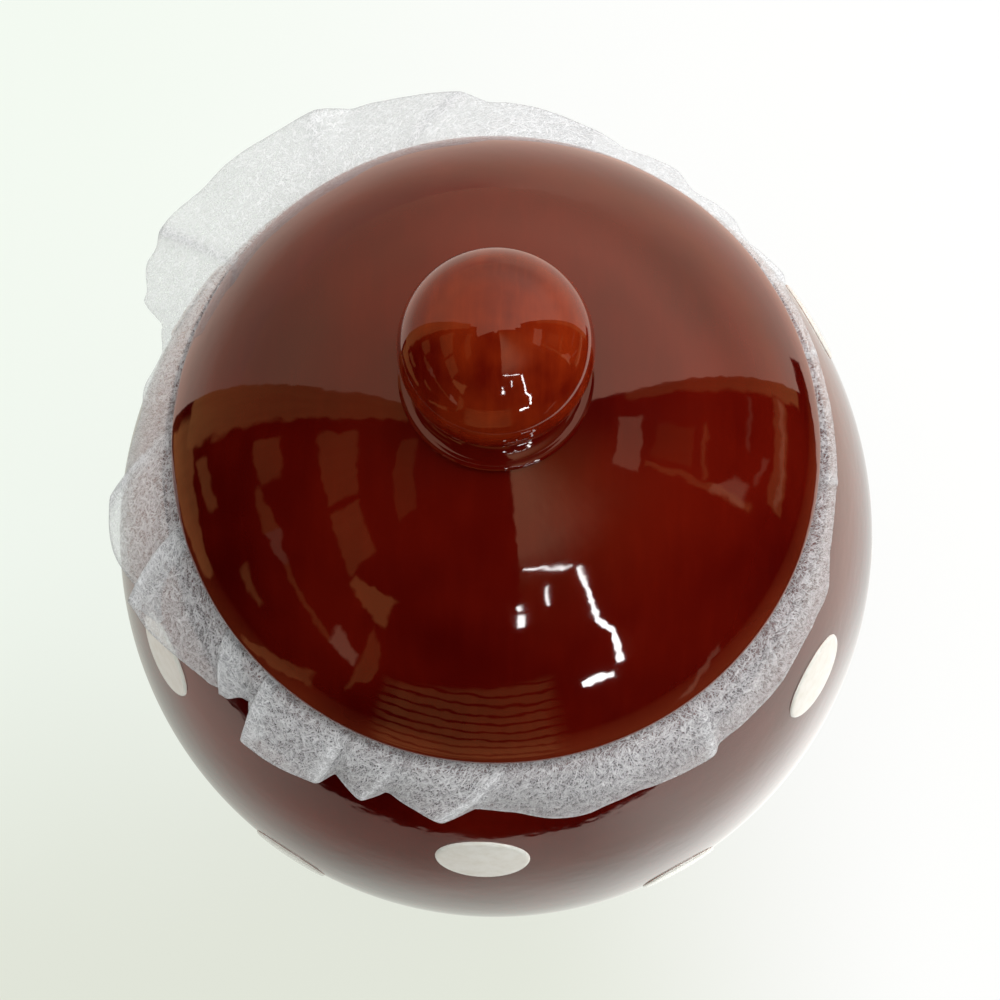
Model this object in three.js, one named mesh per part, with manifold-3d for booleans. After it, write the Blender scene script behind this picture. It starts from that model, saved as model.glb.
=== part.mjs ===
// A glazed ceramic canister: an egg-shaped jar, a domed lid with a ball knob, and the thin sheet packed
// between the lid and the jar. Millimetres, +Z up, origin at the centre of the foot ring on the table.
// The front is -Y. Azimuths are in degrees from the front, positive towards +X.
import * as THREE from 'three';
import { mergeVertices } from 'three/addons/utils/BufferGeometryUtils.js';
import Module from 'manifold-3d';

const wasm = await Module();
wasm.setup();

// Jar, outside
const BELLY_RADIUS = 92.5; // widest circle
const BELLY_HEIGHT = 82; // height of that circle above the table
const SHOULDER_FULLNESS = 39; // how far above the widest circle the side aims straight up before it leans in
const LOWER_FULLNESS = 49; // the same below the widest circle
const RIM_HEIGHT = 182; // flat top of the rim above the table
const RIM_WIDTH = 6; // flat top from the mouth to the lip
const RIM_STEP = 0.5; // the rim's flat top reaches this far past the lid
const LIP_ROUND = 2.5; // rounding outside the rim
const MOUTH_ROUND = 1.5; // rounding inside the rim
const MOUTH_DEPTH = 5; // straight bore of the mouth
const FOOT_RADIUS = 56; // outside of the unglazed foot ring
const FOOT_WIDTH = 7;
const FOOT_HEIGHT = 4;
const FOOT_STEP = 2; // the glazed wall stands out past the foot ring
const FOOT_ROUND = 0.8;
const BASE_RECESS = 3.5; // hollow under the base, inside the foot ring

// Jar, inside
const WALL = 5.5;
const FLOOR_HEIGHT = 8; // inner floor above the table
const RIM_SWELL = 11; // depth below the rim where the wall starts to thicken into it

// Dots of thick white glaze on the body, in rings that are turned half a step from one to the next
const DOT_RADIUS = 9.6;
const DOT_RELIEF = 0.7; // how far a dot stands out of the body
const DOT_RINGS = 3;
const DOTS_PER_RING = 6;
const RING_SPACING = 51; // between the rings' heights
const MIDDLE_RING_RISE = 15; // middle ring above the widest circle
const DOT_TURN = -1.4; // azimuth of the front dot in the upper ring

// Lid
const LID_RADIUS = 60;
const LID_EDGE_ROUND = 3;
const DOME_RISE = 39; // crown above the seat
const LID_WALL = 5;
const FLANGE_DEPTH = 8; // locating flange below the seat
const FLANGE_WALL = 4;
const FLANGE_ROUND = 1.5;

// Knob
const BALL_RADIUS = 15;
const BALL_RISE = 13.3; // centre of the ball above the lid's crown
const WAIST_DROP = 9.2; // narrowest ring below the ball's centre
const COLLAR_RADIUS = 15.8; // flared foot of the knob
const COLLAR_BEAD = 0.7; // half height of the bead round that foot

// Packing sheet
const SHEET = 0.5; // thickness
const SHEET_BEND = 1; // how tightly it turns under the flange
const ROOT_DROOP = 0.4; // the frill leaves the rim at this share of its edge's droop
const MOUTH_EASE = 0.2; // the sheet stands this much further off the mouth's rounded edge
const HALFWAY_LIFT = 0.35; // share of a ridge's lift halfway up to it from the valley before

// Clearance between pieces that touch
const GAP = 0.3;

// Facets: sides round the axis, and steps along each kind of curve in a profile
const ROUND_SIDES = 64;
const KNOB_SIDES = 40;
const DOT_SIDES = 20;
const BODY_STEPS = 9;
const DOME_STEPS = 9;
const HOLLOW_STEPS = 6;
const BALL_STEPS = 12;
const FLARE_STEPS = 5;
const EDGE_STEPS = 6;
const SMALL_STEPS = 3;

// Frill of the sheet: how far it reaches past the rim and how steeply its edge hangs, by azimuth
const FRILL = [
  { azimuth: -180, reach: 12, droop: 36 },
  { azimuth: -150, reach: 18.5, droop: 32 },
  { azimuth: -125, reach: 20.5, droop: 30 },
  { azimuth: -115, reach: 10, droop: 34 },
  { azimuth: -107, reach: 6, droop: 45 },
  { azimuth: -88, reach: 12, droop: 52 },
  { azimuth: -74, reach: 17, droop: 58 },
  { azimuth: -64, reach: 16, droop: 66 },
  { azimuth: -48, reach: 10, droop: 70 },
  { azimuth: -40, reach: 14, droop: 72 },
  { azimuth: -18, reach: 12, droop: 80 },
  { azimuth: 0, reach: 11, droop: 84 },
  { azimuth: 24, reach: 14, droop: 76 },
  { azimuth: 60, reach: 13, droop: 74 },
  { azimuth: 84, reach: 5.5, droop: 78 },
  { azimuth: 98, reach: 3.5, droop: 78 },
  { azimuth: 125, reach: 6, droop: 70 },
  { azimuth: 160, reach: 9, droop: 58 },
];

// Folds of the frill: each ridge lifts the edge by some degrees, then drops within a few degrees of azimuth
const FOLDS = [
  { azimuth: -172, lift: 8, drop: 6 },
  { azimuth: -154, lift: 10, drop: 6 },
  { azimuth: -137, lift: 8, drop: 6 },
  { azimuth: -121, lift: 14, drop: 3 },
  { azimuth: -104, lift: 14, drop: 6 },
  { azimuth: -87, lift: 14, drop: 6 },
  { azimuth: -69, lift: 28, drop: 2 },
  { azimuth: -47, lift: 24, drop: 3 },
  { azimuth: -39, lift: 30, drop: 4 },
  { azimuth: -28, lift: 30, drop: 3 },
  { azimuth: -20, lift: 30, drop: 4 },
  { azimuth: -8.5, lift: 36, drop: 6 },
  { azimuth: 12, lift: 24, drop: 8 },
  { azimuth: 34, lift: 20, drop: 3 },
  { azimuth: 52, lift: 14, drop: 7 },
  { azimuth: 68, lift: 14, drop: 6 },
  { azimuth: 85, lift: 26, drop: 4 },
  { azimuth: 102, lift: 16, drop: 6 },
  { azimuth: 118, lift: 22, drop: 6 },
  { azimuth: 134, lift: 20, drop: 6 },
  { azimuth: 150, lift: 18, drop: 6 },
  { azimuth: 168, lift: 14, drop: 6 },
];
const FRILL_STEPS = 3; // rings from the rim to the frill's edge

const MERGE = 1e-4; // points closer than this are one
const plugAxis = new THREE.Vector3(0, 1, 0);

// Sizes that follow from those above
const RIM_RADIUS = LID_RADIUS + RIM_STEP;
const MOUTH_RADIUS = RIM_RADIUS - RIM_WIDTH;
const SEAT_HEIGHT = RIM_HEIGHT + 2 * GAP + SHEET;
const FLANGE_RADIUS = MOUTH_RADIUS - 2 * GAP - SHEET;
const CROWN_HEIGHT = SEAT_HEIGHT + DOME_RISE;
const SHEET_ROOM = GAP + SHEET / 2; // from a piece that the sheet lies on to the middle of the sheet

const glaze = new THREE.MeshStandardMaterial({ color: 0x5a0f08, roughness: 0.08, metalness: 0 });
const dotGlaze = new THREE.MeshStandardMaterial({ color: 0xe6e4dc, roughness: 0.1, metalness: 0 });
const knobGlaze = new THREE.MeshStandardMaterial({ color: 0x6e1d0a, roughness: 0.08, metalness: 0 });
const sheetCloth = new THREE.MeshStandardMaterial({ color: 0xe4e2e4, roughness: 0.95, metalness: 0 });

const point = (radius, height) => new THREE.Vector2(radius, height);
const mouthCentre = point(MOUTH_RADIUS + MOUTH_ROUND, RIM_HEIGHT - MOUTH_ROUND);

// Points of an arc about a centre, between two angles measured up from the outward direction
function arc(centre, radius, from, to, steps) {
  const turn = THREE.MathUtils.degToRad;
  const circle = new THREE.EllipseCurve(
    centre.x, centre.y, radius, radius, turn(from), turn(to), to < from);
  return circle.getPoints(steps);
}

function bend(start, control, end, steps) {
  return new THREE.QuadraticBezierCurve(start, control, end).getPoints(steps);
}

// The point where a line from outside touches a circle, on the circle's outer side
function touch(from, centre, radius) {
  const away = from.clone().sub(centre);
  const swing = Math.acos(radius / away.length());
  return away.setLength(radius).rotateAround(point(0, 0), swing).add(centre);
}

// A curve moved sideways by a wall's thickness, towards its left
function inset(points, wall) {
  return points.map((p, i) => {
    const before = points[Math.max(i - 1, 0)];
    const after = points[Math.min(i + 1, points.length - 1)];
    const along = after.clone().sub(before).normalize();
    return point(p.x - along.y * wall, p.y + along.x * wall);
  });
}

// A place in the object's frame from an azimuth, a radius and a height
function place(azimuth, { x, y }) {
  const turn = THREE.MathUtils.degToRad(azimuth);
  return new THREE.Vector3(x * Math.sin(turn), -x * Math.cos(turn), y);
}

// Turns a profile about Z. Points that repeat are left out.
function turned(stretches, sides) {
  const outline = stretches.flat().filter((p, i, all) => i === 0 || p.distanceTo(all[i - 1]) > MERGE);
  return new THREE.LatheGeometry(outline, sides).rotateX(Math.PI / 2);
}

function named(name, geometry, material) {
  const mesh = new THREE.Mesh(geometry, material);
  mesh.name = name;
  return mesh;
}

// A closed geometry as a solid that can be joined and cut. Triangles without area at a pole are dropped.
function solidOf(geometry) {
  geometry.deleteAttribute('normal');
  geometry.deleteAttribute('uv');
  const { index, attributes } = mergeVertices(geometry, MERGE);
  const triVerts = [];
  for (let i = 0; i < index.count; i += 3) {
    const [a, b, c] = [0, 1, 2].map((corner) => index.getX(i + corner));
    if (a !== b && b !== c && c !== a) triVerts.push(a, b, c);
  }
  return new wasm.Manifold(new wasm.Mesh({
    numProp: 3,
    vertProperties: new Float32Array(attributes.position.array),
    triVerts: new Uint32Array(triVerts),
  }));
}

// A solid as a geometry with two groups: the surface of the given piece, and what was joined to it
function geometryOf(solid, piece) {
  const { vertProperties, triVerts, runIndex, runOriginalID } = solid.getMesh();
  const [own] = piece.getMesh().runOriginalID;
  const geometry = new THREE.BufferGeometry();
  geometry.setAttribute('position', new THREE.BufferAttribute(new Float32Array(vertProperties), 3));
  geometry.setIndex(new THREE.BufferAttribute(new Uint32Array(triVerts), 1));
  runOriginalID.forEach((id, run) => {
    geometry.addGroup(runIndex[run], runIndex[run + 1] - runIndex[run], id === own ? 0 : 1);
  });
  geometry.computeVertexNormals();
  return geometry;
}

// A round plug square to the body's side at a height, from inside the wall to outside it
function dotPlug(side, height, azimuth) {
  const next = side.findIndex((p) => p.y > height);
  const [below, above] = [side[next - 1], side[next]];
  const middle = below.clone().lerp(above, (height - below.y) / (above.y - below.y));
  const outward = point(above.y - below.y, below.x - above.x).normalize();
  const plug = new THREE.CylinderGeometry(DOT_RADIUS, DOT_RADIUS, WALL, DOT_SIDES);
  plug.applyQuaternion(new THREE.Quaternion().setFromUnitVectors(plugAxis, place(azimuth, outward)));
  plug.translate(...place(azimuth, middle));
  return solidOf(plug);
}

// The dots: plugs all round the body, kept as far as the body's side moved out by their relief
function makeDots(side) {
  const step = 360 / DOTS_PER_RING;
  const plugs = [];
  for (let ring = 0; ring < DOT_RINGS; ring += 1) {
    const fromMiddle = (DOT_RINGS - 1) / 2 - ring;
    const height = BELLY_HEIGHT + MIDDLE_RING_RISE + fromMiddle * RING_SPACING;
    for (let dot = 0; dot < DOTS_PER_RING; dot += 1) {
      plugs.push(dotPlug(side, height, DOT_TURN + (dot + ring / 2) * step));
    }
  }
  const raised = inset(side, -DOT_RELIEF);
  const ends = [raised[0], raised[raised.length - 1]].map((p) => point(0, p.y));
  const body = solidOf(turned([[ends[0]], raised, [ends[1]]], ROUND_SIDES));
  return wasm.Manifold.union(plugs).intersect(body);
}

function makeJar() {
  const lipCentre = point(RIM_RADIUS, RIM_HEIGHT - LIP_ROUND);
  const belly = point(BELLY_RADIUS, BELLY_HEIGHT);
  const shoulderAim = point(BELLY_RADIUS, BELLY_HEIGHT + SHOULDER_FULLNESS);
  const shoulderTop = touch(shoulderAim, lipCentre, LIP_ROUND);
  const lipStart = THREE.MathUtils.radToDeg(shoulderTop.clone().sub(lipCentre).angle());
  const lowerAim = point(BELLY_RADIUS, BELLY_HEIGHT - LOWER_FULLNESS);
  const glazeLine = point(FOOT_RADIUS + FOOT_STEP, FOOT_HEIGHT);

  const lower = bend(glazeLine, lowerAim, belly, BODY_STEPS);
  const upper = bend(belly, shoulderAim, shoulderTop, BODY_STEPS);
  const side = [...lower, ...upper.slice(1)];
  const footInside = FOOT_RADIUS - FOOT_WIDTH;
  const foot = [
    point(0, BASE_RECESS),
    point(footInside - FOOT_STEP, BASE_RECESS),
    point(footInside, FOOT_ROUND),
    point(footInside + FOOT_ROUND, 0),
    point(FOOT_RADIUS - FOOT_ROUND, 0),
    point(FOOT_RADIUS, FOOT_ROUND),
    point(FOOT_RADIUS, FOOT_HEIGHT - FOOT_ROUND),
  ];
  const lip = arc(lipCentre, LIP_ROUND, lipStart, 90, SMALL_STEPS);
  const mouth = arc(mouthCentre, MOUTH_ROUND, 90, 180, SMALL_STEPS);
  const boreEnd = point(MOUTH_RADIUS, RIM_HEIGHT - MOUTH_DEPTH);
  const inner = inset(side, WALL)
    .filter((p) => p.y > FLOOR_HEIGHT + FOOT_HEIGHT && p.y < RIM_HEIGHT - RIM_SWELL)
    .reverse();
  const wallFoot = inner[inner.length - 1];
  const floorEdge = point(wallFoot.x - 2 * (wallFoot.y - FLOOR_HEIGHT), FLOOR_HEIGHT);
  const floorAim = point(wallFoot.x - (wallFoot.y - FLOOR_HEIGHT), FLOOR_HEIGHT);
  const floor = [...bend(wallFoot, floorAim, floorEdge, SMALL_STEPS), point(0, FLOOR_HEIGHT)];
  const pot = solidOf(turned([foot, side, lip, mouth, [boreEnd], inner, floor], ROUND_SIDES));
  return named('jar', geometryOf(pot.add(makeDots(side)), pot), [glaze, dotGlaze]);
}

// The lid's dome is part of a sphere that runs into the rounded edge without a corner
const edgeCentre = point(LID_RADIUS - LID_EDGE_ROUND, SEAT_HEIGHT + LID_EDGE_ROUND);
const domeReach = DOME_RISE - 2 * LID_EDGE_ROUND;
const domeDepth = (edgeCentre.x ** 2 - domeReach ** 2) / (2 * domeReach);
const domeCentre = point(0, edgeCentre.y - domeDepth);
const domeRadius = CROWN_HEIGHT - domeCentre.y;

// Angle above level, seen from the dome's centre, where a sphere about it has the given radius from the axis
function domeAngle(sphere, radius) {
  return THREE.MathUtils.radToDeg(Math.acos(radius / sphere));
}

function makeLid() {
  const edgeAngle = THREE.MathUtils.radToDeg(edgeCentre.clone().sub(domeCentre).angle());
  const flangeFoot = SEAT_HEIGHT - FLANGE_DEPTH;
  const flangeInside = FLANGE_RADIUS - FLANGE_WALL;
  const hollow = domeRadius - LID_WALL;
  const inner = arc(domeCentre, hollow, 90, domeAngle(hollow, flangeInside), HOLLOW_STEPS);
  const flange = [
    ...arc(point(flangeInside + FLANGE_ROUND, flangeFoot + FLANGE_ROUND), FLANGE_ROUND, 180, 270, SMALL_STEPS),
    ...arc(point(FLANGE_RADIUS - FLANGE_ROUND, flangeFoot + FLANGE_ROUND), FLANGE_ROUND, -90, 0, SMALL_STEPS),
    point(FLANGE_RADIUS, SEAT_HEIGHT),
  ];
  const edge = arc(edgeCentre, LID_EDGE_ROUND, -90, edgeAngle, EDGE_STEPS);
  const dome = arc(domeCentre, domeRadius, edgeAngle, 90, DOME_STEPS);
  return named('lid', turned([inner, flange, edge, dome], ROUND_SIDES), glaze);
}

// A ball on a concave flared foot with a thin bead round it; the underside follows the lid's dome
function makeKnob() {
  const ballCentre = point(0, CROWN_HEIGHT + BALL_RISE);
  const waistAngle = -THREE.MathUtils.radToDeg(Math.asin(WAIST_DROP / BALL_RADIUS));
  const ball = arc(ballCentre, BALL_RADIUS, waistAngle, 90, BALL_STEPS);
  const underside = domeRadius + GAP;
  const footRadius = COLLAR_RADIUS - COLLAR_BEAD;
  const base = arc(domeCentre, underside, 90, domeAngle(underside, footRadius), SMALL_STEPS);
  const baseEdge = base[base.length - 1];
  const bead = arc(point(footRadius, baseEdge.y + COLLAR_BEAD), COLLAR_BEAD, -90, 90, FLARE_STEPS);
  const beadTop = bead[bead.length - 1];
  const flareAim = point(ball[0].x, beadTop.y);
  const flare = bend(beadTop, flareAim, ball[0], FLARE_STEPS);
  return named('knob', turned([base, bead, flare, ball], KNOB_SIDES), knobGlaze);
}

// Reach and droop of the frill at an azimuth, eased between the stations
function frillAt(azimuth) {
  const turns = FRILL.map((s) => ({ ...s, azimuth: s.azimuth + 360 }));
  const stations = [...FRILL, turns[0]];
  const next = stations.findIndex((s) => s.azimuth > azimuth);
  const a = stations[next - 1];
  const b = stations[next];
  const t = THREE.MathUtils.smoothstep(azimuth, a.azimuth, b.azimuth);
  return {
    reach: THREE.MathUtils.lerp(a.reach, b.reach, t),
    droop: THREE.MathUtils.lerp(a.droop, b.droop, t),
  };
}

// Meridians of the sheet: one on each ridge, one in the valley after it and one halfway up the next ridge
function sheetMeridians() {
  return FOLDS.flatMap((fold, i) => {
    const next = FOLDS[(i + 1) % FOLDS.length];
    const nextAzimuth = next.azimuth + (i + 1 < FOLDS.length ? 0 : 360);
    const valley = fold.azimuth + fold.drop;
    return [
      { azimuth: fold.azimuth, lift: fold.lift },
      { azimuth: valley, lift: 0 },
      { azimuth: (valley + nextAzimuth) / 2, lift: next.lift * HALFWAY_LIFT },
    ];
  });
}

// One meridian of the sheet's middle surface: disc under the flange, wall in the mouth, rim, then the frill
function sheetLine({ azimuth, lift }) {
  const discHeight = SEAT_HEIGHT - FLANGE_DEPTH - SHEET_ROOM;
  const wallRadius = MOUTH_RADIUS - SHEET_ROOM;
  const overRim = RIM_HEIGHT + SHEET_ROOM;
  const [corner] = arc(mouthCentre, MOUTH_ROUND + SHEET_ROOM + MOUTH_EASE, 135, 135, 1);
  const root = point(RIM_RADIUS + LIP_ROUND / 2, overRim);
  const line = [
    point(wallRadius - SHEET_BEND, discHeight),
    point(wallRadius, discHeight + SHEET_BEND),
    point(wallRadius, RIM_HEIGHT - MOUTH_ROUND - GAP),
    corner,
    point(MOUTH_RADIUS + MOUTH_ROUND, overRim),
    root,
  ];
  const station = azimuth < -180 ? azimuth + 360 : azimuth >= 180 ? azimuth - 360 : azimuth;
  const { reach, droop } = frillAt(station);
  let end = root;
  for (let step = 0; step < FRILL_STEPS; step += 1) {
    const share = THREE.MathUtils.lerp(ROOT_DROOP, 1, (step + 0.5) / FRILL_STEPS);
    const slope = THREE.MathUtils.degToRad((droop - lift) * share);
    const stride = reach / FRILL_STEPS;
    end = point(end.x + stride * Math.cos(slope), end.y - stride * Math.sin(slope));
    line.push(end);
  }
  return line.map((p) => place(azimuth, p));
}

// The sheet as a closed skin: its middle surface moved half a thickness up and down, joined at the edge
function makeSheet() {
  const lines = sheetMeridians().map(sheetLine);
  const count = lines.length;
  const rings = lines[0].length;
  const centre = new THREE.Vector3(0, 0, lines[0][0].z);
  const at = (i, j) => (j < 0 ? centre : lines[(i + count) % count][Math.min(j, rings - 1)]);
  const normal = (i, j) => {
    const across = at(i + 1, j).clone().sub(at(i - 1, j));
    const along = at(i, j + 1).clone().sub(at(i, j - 1));
    return along.cross(across).normalize();
  };
  const positions = [];
  const faces = [];
  const addLayer = (side) => {
    const first = positions.length / 3;
    positions.push(centre.x, centre.y, centre.z + side * SHEET / 2);
    for (let i = 0; i < count; i += 1) {
      for (let j = 0; j < rings; j += 1) {
        const p = at(i, j).clone().addScaledVector(normal(i, j), side * SHEET / 2);
        positions.push(p.x, p.y, p.z);
      }
    }
    const index = (i, j) => (j < 0 ? first : first + 1 + (i % count) * rings + j);
    const addFace = (a, b, c) => faces.push(...(side > 0 ? [a, b, c] : [a, c, b]));
    for (let i = 0; i < count; i += 1) {
      addFace(index(i, -1), index(i, 0), index(i + 1, 0));
      for (let j = 0; j + 1 < rings; j += 1) {
        addFace(index(i, j), index(i, j + 1), index(i + 1, j + 1));
        addFace(index(i, j), index(i + 1, j + 1), index(i + 1, j));
      }
    }
    return index;
  };
  const top = addLayer(1);
  const under = addLayer(-1);
  const edge = rings - 1;
  for (let i = 0; i < count; i += 1) {
    faces.push(top(i, edge), under(i, edge), under(i + 1, edge));
    faces.push(top(i, edge), under(i + 1, edge), top(i + 1, edge));
  }
  const geometry = new THREE.BufferGeometry();
  geometry.setAttribute('position', new THREE.Float32BufferAttribute(positions, 3));
  geometry.setIndex(faces);
  geometry.computeVertexNormals();
  return named('packing_sheet', geometry, sheetCloth);
}

const lidGroup = new THREE.Group();
lidGroup.name = 'lid_with_knob';
lidGroup.add(makeLid(), makeKnob());

const canister = new THREE.Group();
canister.name = 'canister';
canister.add(makeJar(), makeSheet(), lidGroup);

export default canister;
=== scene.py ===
"""A red-brown glazed canister with white dots, its domed lid with a ball knob, and the thin fibre sheet
that is packed between the lid and the jar. Lengths are in metres; MM writes them in millimetres.
Azimuths are in degrees from the front (-Y), positive towards +X.
"""

import math
from functools import reduce

import bmesh
import bpy
import numpy as np
from mathutils import Matrix, Vector, noise


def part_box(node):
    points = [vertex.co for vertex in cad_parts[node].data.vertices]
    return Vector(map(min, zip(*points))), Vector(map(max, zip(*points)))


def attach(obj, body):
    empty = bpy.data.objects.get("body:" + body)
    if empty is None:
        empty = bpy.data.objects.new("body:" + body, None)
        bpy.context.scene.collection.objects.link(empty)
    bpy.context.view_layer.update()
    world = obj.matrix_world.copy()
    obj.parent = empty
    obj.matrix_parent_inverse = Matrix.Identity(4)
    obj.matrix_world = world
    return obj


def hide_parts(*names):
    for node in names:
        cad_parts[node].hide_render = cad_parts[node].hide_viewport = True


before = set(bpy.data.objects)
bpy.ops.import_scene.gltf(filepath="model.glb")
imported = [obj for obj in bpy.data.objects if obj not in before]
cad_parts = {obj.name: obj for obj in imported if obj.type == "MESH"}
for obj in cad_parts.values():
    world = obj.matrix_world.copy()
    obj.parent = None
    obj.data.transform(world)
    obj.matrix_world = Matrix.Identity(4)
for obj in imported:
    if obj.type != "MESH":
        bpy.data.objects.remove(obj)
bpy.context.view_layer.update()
MM = 0.001

# Sizes that the frame gives. The jar's box is wider along x, where two dots stand out
JAR_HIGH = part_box("jar")[1]
LID_LOW, LID_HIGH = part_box("lid")
BELLY_RADIUS = JAR_HIGH.y
RIM_HEIGHT = JAR_HIGH.z
CROWN_HEIGHT = LID_HIGH.z
FLANGE_FOOT = LID_LOW.z
KNOB_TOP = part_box("knob")[1].z

# Jar
BELLY_HEIGHT = 82 * MM
SHOULDER_FULLNESS = 39 * MM
LOWER_FULLNESS = 49 * MM
RIM_RADIUS = 60.5 * MM
RIM_WIDTH = 6 * MM
RIM_SWELL = 11 * MM
SWELL_AIM = 0.8
SEAT_INSET = 2 * MM
LIP_ROUND = 2.5 * MM
MOUTH_RADIUS = RIM_RADIUS - RIM_WIDTH
MOUTH_ROUND = 1.5 * MM
MOUTH_DEPTH = 5 * MM
FOOT_RADIUS = 56 * MM
FOOT_WIDTH = 7 * MM
FOOT_HEIGHT = 4 * MM
FOOT_STEP = 2 * MM
FOOT_ROUND = 0.8 * MM
BASE_RECESS = 3.5 * MM
WALL = 5.5 * MM
FLOOR_HEIGHT = 8 * MM
JAR_SIDES = 224

# Lid and knob
LID_RADIUS = 60 * MM
LID_EDGE_ROUND = 3 * MM
LID_WALL = 5 * MM
LID_SIDES = 192
HOLLOW_STOP = 1.5
FLANGE_DEPTH = 8 * MM
FLANGE_RADIUS = 53.4 * MM
FLANGE_WALL = 4 * MM
FLANGE_ROUND = 1.5 * MM
FLANGE_CORNER = 1 * MM
BALL_RADIUS = 15 * MM
WAIST_DROP = 9.2 * MM
COLLAR_RADIUS = 15.8 * MM
COLLAR_BEAD = 0.7 * MM
LUTE_GAP = 0.3 * MM
KNOB_SIDES = 128

# Dots: three staggered rings of six, each ring with its height and the azimuth of its first dot
DOT_RADIUS = 9.6 * MM
DOT_RELIEF = 0.6 * MM
DOT_CROWN = 0.08 * MM
DOT_FLAT, DOT_SHOULDER = 0.88, 0.985
DOT_SKIRT = 0.02 * MM
DOT_ROOT = 0.9 * MM
DOT_SIDES, DOT_TOP_POINTS = 48, 8
DOTS_PER_RING = 6
DOT_RINGS = [(148 * MM, -1.4), (97 * MM, 28.6), (46 * MM, -1.4)]

# Packing sheet
SHEET_THICKNESS = 0.2 * MM
RIM_GAP_MIDDLE = RIM_HEIGHT + 0.55 * MM
CUP_RADIUS = MOUTH_RADIUS - 0.55 * MM
DISC_HEIGHT = FLANGE_FOOT - 0.55 * MM
SHEET_SAG = 1.2 * MM
SHEET_BEND = 1.2 * MM
JAR_CLEARANCE = 0.35 * MM
RIM_TO_ROOT = LIP_ROUND / 2

# Reach past the rim in millimetres and droop of the edge in degrees, by azimuth
FRILL = [
    (-180, 12, 36), (-150, 18.5, 32), (-128, 20.5, 30), (-119, 19, 31), (-113, 14.5, 33), (-109.5, 8.5, 40),
    (-105, 6.5, 46), (-97, 8.5, 48), (-86, 12.5, 52), (-74, 17, 58), (-64, 16, 66), (-50, 12.5, 70),
    (-46, 10.5, 71), (-43.6, 7.5, 72), (-41.8, 7, 72), (-40, 14, 72), (-18, 12, 80), (-3, 12, 83),
    (13, 16, 78), (28, 15, 76), (60, 13, 74), (84, 5.5, 78), (98, 3.5, 78), (125, 6, 70), (160, 9, 58),
]

# Folds of the frill: azimuth of the crest at the edge, how far the crest slants from the rim to the edge,
# how many degrees it is lifted, and how many degrees of azimuth its steep side takes. A ridge is steep on
# the side after its crest and a back ridge before it. In a pleat the cloth doubles back under the crest, and
# the layer on top is the one after the crest. A pressed fold is a low fold with a white line along it. Sharp
# crests are whitened, partly as denser fibre and partly as a painted highlight.
RIDGE, BACK_RIDGE, PLEAT, PRESSED = "ridge", "back ridge", "pleat", "pressed"
FOLDS = [
    (-174, -12, 18, 4, BACK_RIDGE), (-152, -6, 12, 5, BACK_RIDGE), (-137, 0, 6, 5, RIDGE),
    (-123, 1, 8, 2, PRESSED), (-112, 3, 5, 4, RIDGE), (-99, 2, 8, 4, RIDGE), (-82, 9, 24, 3, BACK_RIDGE),
    (-67, 7, 28, 5, PLEAT), (-47.5, 6, 18, 5, PLEAT), (-40.3, 2.5, 26, 3, PLEAT), (-27, -2, 28, 1.6, RIDGE),
    (-20, -5, 30, 3.2, RIDGE), (-7.6, -10, 36, 5.5, RIDGE), (15, -3, 6, 8, RIDGE),
    (36, -1.5, 9, 1.3, PRESSED), (52, 0, 6, 6, RIDGE), (68, 0, 9, 5, BACK_RIDGE), (84, 1, 22, 2, BACK_RIDGE),
    (95, 0, 8, 3, BACK_RIDGE), (106.7, 1, 26, 2.4, BACK_RIDGE), (122, 1, 24, 2.8, BACK_RIDGE),
    (135, 0, 16, 4, BACK_RIDGE), (148, 0, 14, 4, BACK_RIDGE), (163, 0, 12, 5, BACK_RIDGE),
]
PLEAT_LAYER = 0.25 * MM
RIDGE_LAYER = 0.3 * PLEAT_LAYER
LAYER_SPREAD = 1.8
FULL_LAYER_LIFT = 16
SOFT_LIFT, SHARP_OVER = 6, 20


# Node trees written as expressions
def maths(operation, reflected=False):
    """A method of a value that adds a Math node. In a reflected one the value comes last."""
    def method(value, *others):
        values = (*others, value) if reflected else (value, *others)
        return value.tree.add("ShaderNodeMath", {"operation": operation}, dict(enumerate(values)))
    return method


class Value:
    """One output of a node. Python's operators on it add Math nodes to its tree."""

    def __init__(self, tree, socket):
        self.tree = tree
        self.socket = socket

    def __getitem__(self, output):
        return Value(self.tree, find_socket(self.socket.node.outputs, output))

    __add__, __radd__ = maths("ADD"), maths("ADD", reflected=True)
    __sub__, __rsub__ = maths("SUBTRACT"), maths("SUBTRACT", reflected=True)
    __mul__, __rmul__ = maths("MULTIPLY"), maths("MULTIPLY", reflected=True)
    __truediv__, __mod__, __gt__ = maths("DIVIDE"), maths("FLOORED_MODULO"), maths("GREATER_THAN")
    floor, sine, cosine = maths("FLOOR"), maths("SINE"), maths("COSINE")
    absolute, highest = maths("ABSOLUTE"), maths("MAXIMUM")


def find_socket(sockets, key):
    if isinstance(key, int):
        return sockets[key]
    named = [s for s in sockets if s.identifier == key] or [s for s in sockets if s.name == key and s.enabled]
    return named[0]


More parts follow.
